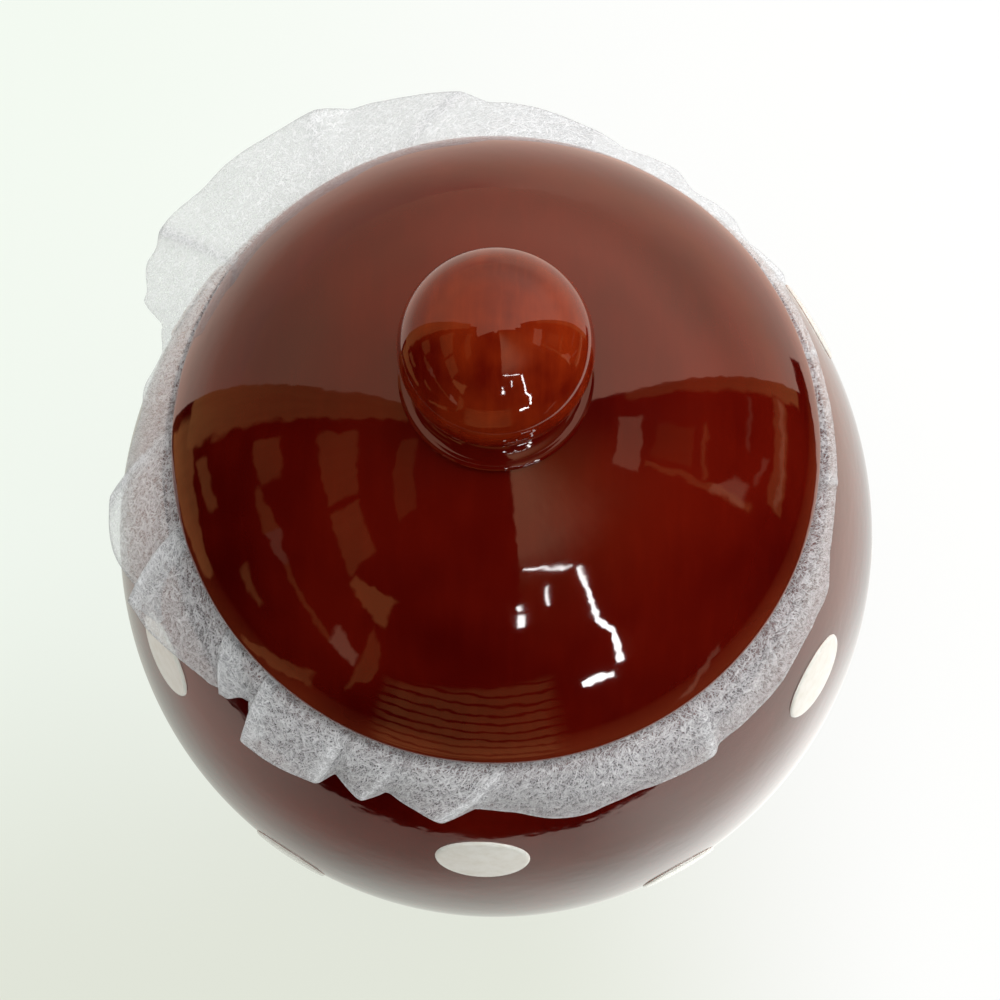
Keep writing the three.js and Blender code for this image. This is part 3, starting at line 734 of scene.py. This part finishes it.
def sheet_rows():
    """Radius, height, azimuth, crease and clearance of each column, in rows from the sheet's middle to its
    edge.
    """
    edge_azimuth, slant, lift, layer, crease = sheet_threads().T
    rim_azimuth = edge_azimuth - slant
    reach, droop = round_the_rim(edge_azimuth, FRILL).T
    reach = reach * MM + RIM_TO_ROOT
    ones = np.ones(COLUMNS)
    rows = []

    def row(radius, height, azimuth=rim_azimuth):
        rows.append((radius * ones, height * ones, azimuth, 0 * ones, 0 * ones))

    even_azimuth = np.linspace(rim_azimuth[0], rim_azimuth[0] + 360, COLUMNS, endpoint=False)
    disc_edge = CUP_RADIUS - SHEET_BEND
    for share in np.linspace(DISC_MIDDLE, 1, DISC_ROWS):
        sag = SHEET_SAG * (1 - share ** 2)
        azimuth = even_azimuth + (rim_azimuth - even_azimuth) * share ** 2
        row(disc_edge * share, DISC_HEIGHT - sag, azimuth)
    for r, z in bend((disc_edge, DISC_HEIGHT), (CUP_RADIUS, DISC_HEIGHT),
                     (CUP_RADIUS, DISC_HEIGHT + SHEET_BEND), steps=3)[1:]:
        row(r, z)
    wall_top = RIM_HEIGHT - MOUTH_ROUND
    row(CUP_RADIUS, (wall_top + DISC_HEIGHT) / 2)
    mouth_centre = (MOUTH_RADIUS + MOUTH_ROUND, wall_top)
    for r, z in arc(mouth_centre, RIM_GAP_MIDDLE - wall_top, 180, 90, steps=4):
        row(r, z)
    for r in np.linspace(mouth_centre[0], RIM_RADIUS, RIM_POINTS)[1:]:
        row(r, RIM_GAP_MIDDLE + layer)
    radius = RIM_RADIUS * ones
    height = RIM_GAP_MIDDLE + layer
    front = np.clip(EDGE_FRONT + np.cos(np.radians(edge_azimuth)), 0, 1)
    clearance = JAR_CLEARANCE + LAYER_SPREAD * (layer + PLEAT_LAYER)
    for step in range(FRILL_ROWS):
        share = (step + 0.5) / FRILL_ROWS
        bent = math.sin(share * math.pi / 2) ** DROOP_EASE
        slope = np.radians((droop - lift * share ** LIFT_EASE) * bent)
        radius = radius + reach / FRILL_ROWS * np.cos(slope)
        height = height - reach / FRILL_ROWS * np.sin(slope)
        out = (step + 1) / FRILL_ROWS
        # The last rows at the front are whitened as a painted highlight along the edge.
        edge = EDGE_WHITE * front * max(0, step + 2 - FRILL_ROWS)
        creased = np.maximum(crease * min(1, CREASE_AT_RIM + out), edge)
        rows.append((radius, height, rim_azimuth + slant * out, creased, clearance))
    return rows


def crinkled(points, rows_count):
    """Small creases: each point moves a little along the sheet's normal, most towards the edge."""
    grid = points.reshape(rows_count, COLUMNS, 3)
    across = np.roll(grid, -1, axis=1) - np.roll(grid, 1, axis=1)
    along = np.gradient(grid, axis=0)
    normal = np.cross(along, across)
    normal /= np.maximum(np.linalg.norm(normal, axis=2, keepdims=True), 1e-12)
    first_frill = rows_count - FRILL_ROWS
    for i in range(rows_count):
        free = max(0.0, (i - first_frill) / FRILL_ROWS)
        inside = DISC_WRINKLE if i < DISC_ROWS else 0
        for j in range(COLUMNS):
            p = Vector(grid[i, j])
            broad = noise.noise(p / BROAD_SIZE) * BROAD_HEIGHT
            fine = noise.noise(p / FINE_SIZE + FINE_SHIFT) * FINE_HEIGHT
            grid[i, j] += normal[i, j] * (broad + fine) * (inside + free) * MM
    return grid.reshape(-1, 3)


def clear_of_jar(points, clearance):
    """Moves points that lie in the jar's shoulder, or too near it, out along its normal."""
    side, lip_centre, lip_start = jar_side()
    upper = [p for p in side if p[1] > BELLY_HEIGHT + SHOULDER_FULLNESS]
    lip = arc(lip_centre, LIP_ROUND, lip_start, 90, steps=12)
    line = np.array(upper + lip + [(MOUTH_RADIUS, RIM_HEIGHT)])
    line = cut_anew(line, lambda length: np.arange(0, length, OUTLINE_STEP))
    direction = directions(line)
    normal = np.stack([direction[:, 1], -direction[:, 0]], axis=1)
    radius = np.hypot(points[:, 0], points[:, 1])
    for i in np.nonzero(radius > RIM_RADIUS)[0]:
        here = np.array([radius[i], points[i, 2]])
        nearest = np.argmin(((line - here) ** 2).sum(axis=1))
        push = clearance[i] - (here - line[nearest]) @ normal[nearest]
        if push > 0:
            moved = here + push * normal[nearest]
            points[i, :2] *= moved[0] / radius[i]
            points[i, 2] = moved[1]
    return points


def packing_sheet(finish):
    """The sheet, the area of its cut and how wide it is when it lies flat."""
    rows = sheet_rows()
    points = []
    flat = [np.zeros(COLUMNS)]
    for i, (radius, height, azimuth, *_) in enumerate(rows):
        turn = np.radians(azimuth)
        points.append(np.stack([radius * np.sin(turn), -radius * np.cos(turn), height], axis=1))
        if i:
            flat.append(flat[-1] + np.hypot(radius - rows[i - 1][0], height - rows[i - 1][1]))
    count = len(rows)
    clearance = np.concatenate([row[4] for row in rows])
    points = clear_of_jar(crinkled(np.concatenate(points), count), clearance)
    centre = [(0, 0, points[:COLUMNS, 2].mean())]
    vertices = np.vstack([points, centre])
    faces = []
    for i in range(count - 1):
        for j in range(COLUMNS):
            a, b = i * COLUMNS + j, i * COLUMNS + (j + 1) % COLUMNS
            faces.append((a, a + COLUMNS, b + COLUMNS, b))
    for j in range(COLUMNS):
        faces.append((len(points), j, (j + 1) % COLUMNS))
    mesh = bpy.data.meshes.new("packing_sheet_cloth")
    mesh.from_pydata(vertices.tolist(), [], faces)
    mesh.shade_smooth()
    # The crease value whitens the sheet along its folds and front edge, partly as a painted highlight.
    creases = np.concatenate([row[3] for row in rows] + [[0]]).astype(np.float32)
    mesh.attributes.new("crease_white", "FLOAT", "POINT").data.foreach_set("value", creases)
    start = rows[0][0][0]
    turn = np.linspace(0, math.tau, COLUMNS, endpoint=False)
    around = np.stack([np.sin(turn), -np.cos(turn)], axis=1)
    spread = np.concatenate([(start + reach)[:, None] * around for reach in flat])
    spread = np.vstack([spread, [[0, 0]]]) / SHEET_UV_SIZE + 0.5
    corners = np.zeros(len(mesh.loops), np.int32)
    mesh.loops.foreach_get("vertex_index", corners)
    mesh.uv_layers.new(name="flat").data.foreach_set("uv", spread[corners].astype(np.float32).ravel())
    mesh.materials.append(finish)
    piece = in_scene("packing_sheet_cloth", mesh)
    thickness = piece.modifiers.new("thickness", "SOLIDIFY")
    thickness.thickness = SHEET_THICKNESS
    thickness.offset = 0
    area = sum(p.area for p in mesh.polygons)
    widest = 2 * (start + max(reach.max() for reach in flat))
    return piece, area, widest


# Stage: camera and lights
CAMERA_PLACE = (0.85 * MM, -69.25 * MM, 436.34 * MM)
CAMERA_PITCH = 77.2
CAMERA_ROLL = 0.606
CAMERA_LENS = 50.4
CAMERA_NEAREST = 0.01
SENSOR = 36
# Lights: name, place, width, watts and tint
LIGHTS = [
    ("key", (0.8, 0.2, 1.0), 1.2, 12, (1.0, 1.0, 1.0)),
    ("fill", (-0.6, 0.2, 1.2), 1.2, 2.5, (0.98, 1.0, 0.98)),
]
LIGHTS_AIM = Vector((0, 0, 0.12))
AMBIENT, AMBIENT_TINT = 0.58, (0.98, 1.0, 0.98, 1)
BLACK, WHITE_LIGHT = (0, 0, 0, 1), (1, 1, 1, 1)
MATT = {"Roughness": 0.9, "Specular IOR Level": 0.1}

# What the glaze mirrors of the world, warm and brighter to the right
CEILING = [(1.25, 0.7, 0.46, 1), (-0.7, 0.7, (2.4, 1.3, 0.94, 1))]
LOW_ROOM = [(0.92, 0.53, 0.37, 1), (-0.7, 0.7, (1.45, 0.85, 0.6, 1))]

# Floor: its own colours, how they show to the camera, and what the glaze mirrors of it near the jar and
# further off. They change from left to right, and NEAR_RIGHT from front to back. All of them are painted
# light and shade: the floor and its paper are darker to the left, the paper's front colour is painted shade
# in front of the jar, and what the glaze mirrors is a painted reflection, brightest at the right and darker
# in front.
FLOOR_EXTENT = 6.0
FLOOR_PLAIN = 0.86
FLOOR_UNEVEN_SIZE, FLOOR_UNEVEN = 0.12, 0.03
FLOOR = [colour(206, 210, 203), (-0.35, 0.35, colour(252, 253, 251))]
PAPER = [colour(247, 254, 245), (-0.16, 0.08, colour(255, 255, 254))]
PAPER_FRONT_SHADE, PAPER_FAR = colour(228, 232, 219), colour(250, 252, 248)
NEAR = [(0.6, 0.61, 0.55, 1), (-0.1, -0.02, (0.76, 0.78, 0.71, 1))]
NEAR_RIGHT = [(1.6, 1.59, 1.53, 1), (-0.08, 0.02, (0.88, 0.87, 0.84, 1))]
AHEAD = [(0.58, 0.46, 0.4, 1), (-0.19, -0.09, (0.42, 0.3, 0.25, 1)), (-0.05, 0.02, (0.64, 0.53, 0.46, 1)),
         (0.05, 0.13, (1.05, 0.92, 0.83, 1))]
BEHIND = (1.0, 0.73, 0.61, 1)
HORIZON = [(0.86, 0.5, 0.37, 1), (-0.5, 0.5, (1.4, 0.83, 0.6, 1))]

# Panels of the dark room: azimuth, lowest and highest height at both ends
ROOM_RADIUS = 0.238
ROOM_PANELS = [
    [(-107, 0, 0.09), (15, 0, 0.09)], [(15, 0, 0.09), (117, 0.06, 0.09)],
    [(-107, 0.09, 0.68), (110, 0.09, 0.68)], [(-102, 0.68, 0.85), (101, 0.68, 0.85)],
    [(-72, 0.85, 6), (95, 0.85, 6)],
]
PANEL_STEPS = 48
DEGREES_PER_UV = 100
ROOM_DARK, ROOM_BROWN, ROOM_MAUVE = (0.002, 0.001, 0.001, 1), (1.0, 0.44, 0.15, 1), (1.0, 0.58, 0.38, 1)
WOBBLE_SCALE, WOBBLE = 26.0, (0.045, 0.022, 0)
SLATS_PER_METRE = 430
SLAT_LIGHT, GLOW_LIGHT, VEIL_LIGHT = 0.5, 0.6, 1.15

# Strips of a lamp, mirrored in the glaze: width, then azimuth and height of the points along each
LAMP_RADIUS = 0.236
LAMP_GLOW = 26.0
LAMP_STEP = 3 * MM
LAMP_UNEVEN_SIZE, LAMP_UNEVEN = 9 * MM, 0.7
LAMP_STRIPS = [
    (5 * MM, [(11.3, 0.431), (20.9, 0.42), (31.2, 0.4)]),
    (7 * MM, [(33.3, 0.39), (32.3, 0.352), (31.7, 0.32), (30.5, 0.288), (32, 0.273), (33.8, 0.26), (33, 0.24),
              (32, 0.214)]),
    (10 * MM, [(21.2, 0.205), (25.5, 0.207), (29.6, 0.203)]),
    (6 * MM, [(8, 0.353), (8.6, 0.342)]),
    (9 * MM, [(8.6, 0.334), (8, 0.313)]),
    (4 * MM, [(19.3, 0.38), (18.2, 0.344)]),
]

# Dim shapes of the room, painted to glow on its panels as reflections in the glaze: lowest and highest
# azimuth, lowest and highest height at the first azimuth and at the last, and brightness
BROWN_SHAPES = [
    (-108, -97, (0.1, 0.66), (0.09, 0.66), 0.58), (-104, -73, (0.03, 0.115), (0.082, 0.104), 0.45),
    (-94, -83, (0.118, 0.15), (0.138, 0.156), 0.4), (-93, -82, (0.233, 0.281), (0.24, 0.281), 0.42),
    (-82, -71, (0.23, 0.238), (0.222, 0.25), 0.4), (-62, -42, (0.226, 0.236), (0.203, 0.21), 0.4),
    (-92, -68, (0.352, 0.456), (0.342, 0.416), 0.45), (-65, -47, (0.336, 0.41), (0.306, 0.366), 0.5),
    (-46, -31.5, (0.296, 0.31), (0.265, 0.318), 1.1), (-33, -29, (0.15, 0.262), (0.2, 0.23), 0.45),
    (-85, -47, (0.62, 0.72), (0.46, 0.55), 0.3), (-68, -60, (0.16, 0.176), (0.156, 0.168), 0.45),
    (-60, -41, (0.07, 0.09), (0.122, 0.15), 0.4), (106.5, 111, (0.1, 0.46), (0.1, 0.46), 0.5),
    (79.6, 81.6, (0.2, 0.41), (0.2, 0.41), 0.6), (83, 106.5, (0.142, 0.176), (0.142, 0.164), 0.42),
    (82.6, 97.4, (0.287, 0.294), (0.29, 0.297), 0.6), (84, 96, (0.31, 0.4), (0.31, 0.39), 0.2),
]
MAUVE_SHAPES = [
    (-71, -62, (0.222, 0.252), (0.228, 0.238), 0.5), (-42, -34, (0.206, 0.23), (0.197, 0.213), 1.1),
    (76.5, 98.6, (0.424, 0.5), (0.424, 0.5), 1.1), (80, 85.5, (0.216, 0.276), (0.214, 0.24), 0.8),
    (41, 53, (0.095, 0.104), (0.118, 0.132), 0.5), (84, 106, (0.15, 0.16), (0.146, 0.154), 0.4),
    (86, 93, (0.2, 0.206), (0.18, 0.19), 0.4), (93, 105, (0.215, 0.222), (0.21, 0.215), 0.3),
]


def make_camera():
    data = bpy.data.cameras.new("camera")
    data.lens = CAMERA_LENS
    data.sensor_width = SENSOR
    data.clip_start = CAMERA_NEAREST
    camera = in_scene("camera", data)
    pitch = Matrix.Rotation(math.radians(90 - CAMERA_PITCH), 4, "X")
    roll = Matrix.Rotation(math.radians(CAMERA_ROLL), 4, "Z")
    camera.matrix_world = Matrix.Translation(CAMERA_PLACE) @ pitch @ roll
    bpy.context.scene.camera = camera


def area_light(name, place, size, watts, tint):
    data = bpy.data.lights.new(name, "AREA")
    data.shape = "DISK"
    data.size = size
    data.energy = watts
    data.color = tint
    light = in_scene(name, data)
    light.location = place
    light.rotation_euler = (LIGHTS_AIM - Vector(place)).to_track_quat("-Z", "Y").to_euler()
    light.visible_glossy = False


def stage_object(name, vertices, faces, finish):
    mesh = bpy.data.meshes.new(name)
    mesh.from_pydata(vertices, [], faces)
    mesh.materials.append(finish)
    thing = in_scene(name, mesh)
    return thing


def mirrored_strip(name, vertices, finish):
    """A strip of faces between two rows of points taken in turn, seen only in the glaze."""
    faces = [(i, i + 1, i + 3, i + 2) for i in range(0, len(vertices) - 2, 2)]
    strip = stage_object(name, vertices, faces, finish)
    strip.visible_camera = False
    strip.visible_diffuse = False
    strip.visible_transmission = False
    strip.visible_shadow = False
    return strip


def room_panel(name, ends, finish):
    """A panel on a cylinder round the jar. Each end has an azimuth and two heights."""
    (first, first_low, first_high), (last, last_low, last_high) = ends
    vertices, spread = [], []
    for share in np.linspace(0, 1, PANEL_STEPS + 1):
        azimuth = first + (last - first) * share
        turn = math.radians(azimuth)
        for start, end in ((first_low, last_low), (first_high, last_high)):
            height = start + (end - start) * share
            vertices.append((ROOM_RADIUS * math.sin(turn), -ROOM_RADIUS * math.cos(turn), height))
            spread.append((azimuth / DEGREES_PER_UV, height))
    mesh = mirrored_strip(name, vertices, finish).data
    corners = [value for loop in mesh.loops for value in spread[loop.vertex_index]]
    mesh.uv_layers.new(name="spread").data.foreach_set("uv", corners)


def lamp_strip(name, width, points, finish):
    """An uneven ribbon of light that follows points on a cylinder round the jar."""
    line = np.array([(math.radians(azimuth) * LAMP_RADIUS, height) for azimuth, height in points])
    line = cut_anew(line, lambda length: np.linspace(0, length, max(4, round(length / LAMP_STEP))))
    vertices = []
    for (x, y), (dx, dy) in zip(line, directions(line)):
        half = width / 2 * (1 + LAMP_UNEVEN * noise.noise(Vector((x, y, 0)) / LAMP_UNEVEN_SIZE))
        for side in (half, -half):
            turn = (x - side * dy) / LAMP_RADIUS
            vertices.append((LAMP_RADIUS * math.sin(turn), -LAMP_RADIUS * math.cos(turn), y + side * dx))
    mirrored_strip(name, vertices, finish)


def lamp_light():
    finish, tree = new_finish("strip lamp")
    glow = {"Emission Color": WHITE_LIGHT, "Emission Strength": LAMP_GLOW}
    shade(tree, {"Base Color": WHITE_LIGHT, **MATT, **glow})
    return finish


def dark_room():
    """The dark side of the room: black, with dim warm shapes, a window glow and a few level slats that glow
    as painted reflections of the lit room, seen only in the glaze.
    """
    finish, tree = new_finish("dark room")
    spread = tree.add("ShaderNodeTexCoord")["UV"]
    inputs = {"Vector": spread, "Scale": WOBBLE_SCALE, "Detail": 4.0}
    wobble = tree.vector("SUBTRACT", tree.add("ShaderNodeTexNoise", {}, inputs)["Color"], (0.5, 0.5, 0.5))
    bent = tree.parts(tree.vector("MULTIPLY_ADD", wobble, WOBBLE, spread))
    azimuth, height = bent["X"] * DEGREES_PER_UV, bent["Y"]
    level = tree.parts(spread)["Y"]
    grain = tree.noise(spread, 0.02, 4, 0.6, (1, 5, 1))

    def inside(value, low, high, soft):
        return tree.ease(value, low - soft, low + soft) * (1 - tree.ease(value, high - soft, high + soft))

    def brightest(shapes, light):
        for first, last, (first_low, first_high), (last_low, last_high), brightness in shapes:
            share = (azimuth - first) / (last - first)
            low = first_low + share * (last_low - first_low)
            high = first_high + share * (last_high - first_high)
            shape = inside(azimuth, first, last, 0.7) * inside(height, low, high, 0.003)
            light = light.highest(shape * brightness)
        return light * (0.7 + grain * 0.6)

    slats = inside(azimuth, -25, 14, 3) * inside(level - azimuth * 0.0007, 0.09, 0.222, 0.006)
    lines = (level * SLATS_PER_METRE + tree.noise(spread, 0.12, 2) * 5).sine()
    slats = slats * tree.ease(lines, -0.85, -0.4) * SLAT_LIGHT
    window = tree.ease(azimuth - height * 16, 2.5, 3.5)
    glow = window * (1 - tree.ease(azimuth, 45, 112)) * tree.ease(height, 0.22, 0.75) * GLOW_LIGHT
    veil = window * (1 - tree.ease(azimuth, 14, 70)) * tree.ease(height, 0.38, 0.52) * VEIL_LIGHT
    brown = tree.mix(brightest(BROWN_SHAPES, slats.highest(glow)), ROOM_DARK, ROOM_BROWN)
    mauve = tree.mix(brightest(MAUVE_SHAPES, veil), BLACK, ROOM_MAUVE)
    shade(tree, {"Base Color": BLACK, "Roughness": 0.9, "Specular IOR Level": 0.0,
                 "Emission Color": tree.vector("ADD", brown, mauve), "Emission Strength": 1.0})
    return finish


def floor_finish():
    """Pale paper with painted shade in front of and to the left of the jar, and a part of the real shadow
    that falls on it. In the glaze it is a painted reflection: white near the jar, brightest at the right, and
    warm further off.
    """
    finish, tree = new_finish("pale floor")
    place = tree.add("ShaderNodeTexCoord")["Object"]
    spot = tree.parts(place)
    right, back = spot["X"], spot["Y"]
    distance = tree.vector("LENGTH", place)["Value"]
    uneven = (tree.noise(place, FLOOR_UNEVEN_SIZE, 3) - 0.5) * FLOOR_UNEVEN
    # The floor's own colour is darker to the left: painted shade.
    base = tree.steps(right + uneven, *FLOOR)
    # The paper the camera sees is darker to the left and in front of the jar, except at its right: painted
    # shade.
    front = tree.ease(0 - back + uneven, -0.02, 0.13) * (1 - tree.ease(right, 0.0, 0.14))
    paper = tree.mix(front, tree.steps(right + uneven, *PAPER), PAPER_FRONT_SHADE)
    paper = tree.steps(distance, paper, (0.36, 0.9, PAPER_FAR))
    # What the glaze mirrors of the floor: a painted reflection, white near the jar, brightest at the right,
    # darker in front.
    near = tree.steps(right, *NEAR, (-0.01, 0.13, tree.steps(back, *NEAR_RIGHT)))
    far = tree.steps(back, tree.steps(right, *AHEAD), (-0.1, 0.2, BEHIND))
    horizon = tree.steps(right, *HORIZON)
    mirrored = tree.steps(distance, near, (0.135, 0.205, far), (0.22, 0.8, horizon))
    path = tree.add("ShaderNodeLightPath")
    shown = tree.mix(path["Is Glossy Ray"], paper, mirrored)
    lit = tree.add("ShaderNodeBsdfPrincipled", {}, {"Base Color": base, **MATT})
    plain = tree.add("ShaderNodeEmission", {}, {"Color": shown, "Strength": 1.0})
    seen = (path["Is Camera Ray"] * FLOOR_PLAIN).highest(path["Is Glossy Ray"])
    both = tree.add("ShaderNodeMixShader", {}, {0: seen, 1: lit, 2: plain})
    tree.add("ShaderNodeOutputMaterial", {}, {"Surface": both})
    return finish


def white_world():
    """White to the camera, warm and brighter to the right in the glaze, and plain ambient light."""
    world = bpy.data.worlds.new("white room")
    bpy.context.scene.world = world
    world.use_nodes = True
    world.node_tree.nodes.clear()
    tree = Tree(world.node_tree)
    path = tree.add("ShaderNodeLightPath")
    way = tree.parts(tree.add("ShaderNodeTexCoord")["Generated"])
    low, ceiling = tree.steps(way["X"], *LOW_ROOM), tree.steps(way["X"], *CEILING)
    room = tree.steps(way["Z"], low, (0.0, 0.4, ceiling))
    shown = tree.mix(path["Is Glossy Ray"], WHITE_LIGHT, room)
    seen = path["Is Camera Ray"].highest(path["Is Glossy Ray"]).highest(path["Is Transmission Ray"])
    ambient = tree.add("ShaderNodeBackground", {}, {"Color": AMBIENT_TINT, "Strength": AMBIENT})
    white = tree.add("ShaderNodeBackground", {}, {"Color": shown, "Strength": 1.0})
    both = tree.add("ShaderNodeMixShader", {}, {0: seen, 1: ambient, 2: white})
    tree.add("ShaderNodeOutputWorld", {}, {"Surface": both})


def make_stage():
    far = FLOOR_EXTENT
    corners = [(-far, -far, 0), (far, -far, 0), (far, far, 0), (-far, far, 0)]
    stage_object("floor", corners, [(0, 1, 2, 3)], floor_finish())
    room = dark_room()
    for i, ends in enumerate(ROOM_PANELS):
        room_panel(f"room_{i}", ends, room)
    lamp = lamp_light()
    for i, (width, points) in enumerate(LAMP_STRIPS):
        lamp_strip(f"lamp_{i}", width, points, lamp)
    for light in LIGHTS:
        area_light(*light)
    white_world()
    bpy.context.scene.view_settings.view_transform = "Standard"


make_camera()
make_stage()

BODY_GLAZE = glaze("body glaze", deep=colour(58, 1, 1), warm=colour(90, 12, 3), thinned=colour(116, 46, 24),
                   cloud_size=38 * MM, streaks=0.12)
KNOB_GLAZE = glaze("knob glaze", deep=colour(80, 6, 2), warm=colour(130, 38, 9), thinned=colour(128, 52, 24),
                   cloud_size=11 * MM, streaks=0.25)
WHITE = white_glaze("white glaze")
CLAY = bare_clay("bare clay")
TURNING = turning_tree()

jar = turned("jar_pot", jar_profile(), JAR_SIDES, BODY_GLAZE, CLAY)
lid = turned("lid_dome", lid_profile(), LID_SIDES, BODY_GLAZE, CLAY)
# The knob's second finish, the darker body glaze on its foot and collar, is painted shade under the ball.
knob = turned("ball_knob", knob_profile(), KNOB_SIDES, KNOB_GLAZE, BODY_GLAZE)
dots = dots_on(jar, WHITE, BODY_GLAZE)
sheet, sheet_area, sheet_width = packing_sheet(fibre_web("fibre web"))

for piece, body, slot in ((jar, "jar", "body_glaze"), (lid, "lid", "body_glaze"), (knob, "lid", "knob_glaze"),
                          (dots, "jar", "dot_glaze"), (sheet, "sheet", "sheet_fibre")):
    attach(piece, body)
for piece, node in ((jar, "jar"), (lid, "lid"), (knob, "knob"), (sheet, "packing_sheet")):
    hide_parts(node)
